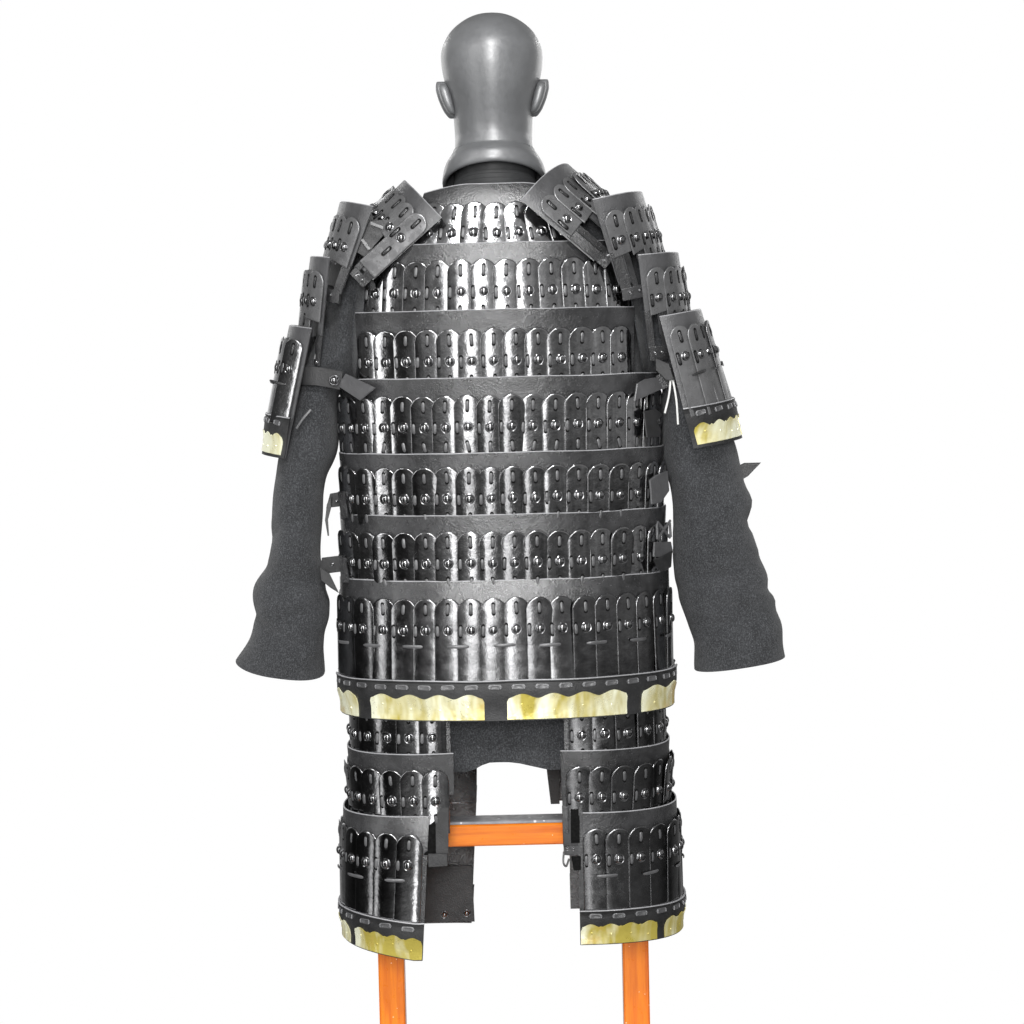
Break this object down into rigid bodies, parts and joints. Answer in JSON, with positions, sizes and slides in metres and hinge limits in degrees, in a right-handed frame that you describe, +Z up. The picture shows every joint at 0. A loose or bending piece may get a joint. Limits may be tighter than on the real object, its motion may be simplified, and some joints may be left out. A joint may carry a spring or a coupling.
{
  "type": "lamellar armour on dress form and stand",
  "caption": "Steel lamellar cuirass with arm and thigh guards over a wool coat, worn by a limbless dress form on a wooden stand.",
  "frame": {"origin": "on the floor, midway between the outermost points of the sleeves and of the feet", "axes": "+Z up, the wearer faces -Y, the wearer's left is +X"},
  "size_m": [0.7836, 0.46, 1.799],
  "materials": {
    "steel": "polished, slightly dished plates",
    "leather": "black, waxed, satin, worn at the edges",
    "wool": "charcoal woollen cloth with pale fibres",
    "plastic": "dark grey, satin",
    "wood": "orange stain under gloss varnish",
    "rail": "grey paint, worn",
    "brass": "polished hem trims, nailed on"
  },
  "bodies": {
    "root": {"torso_back_1_leather": "leather", "torso_back_1_plates": "steel", "torso_back_2_leather": "leather", "torso_back_2_plates": "steel", "torso_back_3_leather": "leather", "torso_back_3_plates": "steel", "torso_back_4_leather": "leather", "torso_back_4_plates": "steel", "torso_back_5_leather": "leather", "torso_back_5_plates": "steel", "torso_back_6_leather": "leather", "torso_back_6_plates": "steel", "torso_back_7_leather": "leather", "torso_back_7_plates": "steel", "torso_front_1_leather": "leather", "torso_front_1_plates": "steel", "torso_front_2_leather": "leather", "torso_front_2_plates": "steel", "torso_front_3_leather": "leather", "torso_front_3_plates": "steel", "torso_front_4_leather": "leather", "torso_front_4_plates": "steel", "torso_front_5_leather": "leather", "torso_front_5_plates": "steel", "torso_front_6_leather": "leather", "torso_front_6_plates": "steel", "torso_front_7_leather": "leather", "torso_front_7_plates": "steel", "arm_left_1": "steel", "arm_left_2": "steel", "arm_left_3": "steel", "arm_left_4": "steel", "arm_right_1": "steel", "arm_right_2": "steel", "arm_right_3": "steel", "arm_right_4": "steel", "thigh_left_1_leather": "leather", "thigh_left_1_plates": "steel", "thigh_left_2_leather": "leather", "thigh_left_2_plates": "steel", "thigh_left_3_leather": "leather", "thigh_left_3_plates": "steel", "thigh_right_1_leather": "leather", "thigh_right_1_plates": "steel", "thigh_right_2_leather": "leather", "thigh_right_2_plates": "steel", "thigh_right_3_leather": "leather", "thigh_right_3_plates": "steel", "coat_back": "wool", "coat_front": "wool", "coat_sleeve_left": "wool", "coat_sleeve_right": "wool", "form_torso": "plastic", "form_head": "plastic", "stand_post_left": "wood", "stand_post_right": "wood", "stand_foot_left": "wood", "stand_foot_right": "wood", "stand_crossbar": "wood", "stand_rail": "rail"}
  },
  "joints": []
}
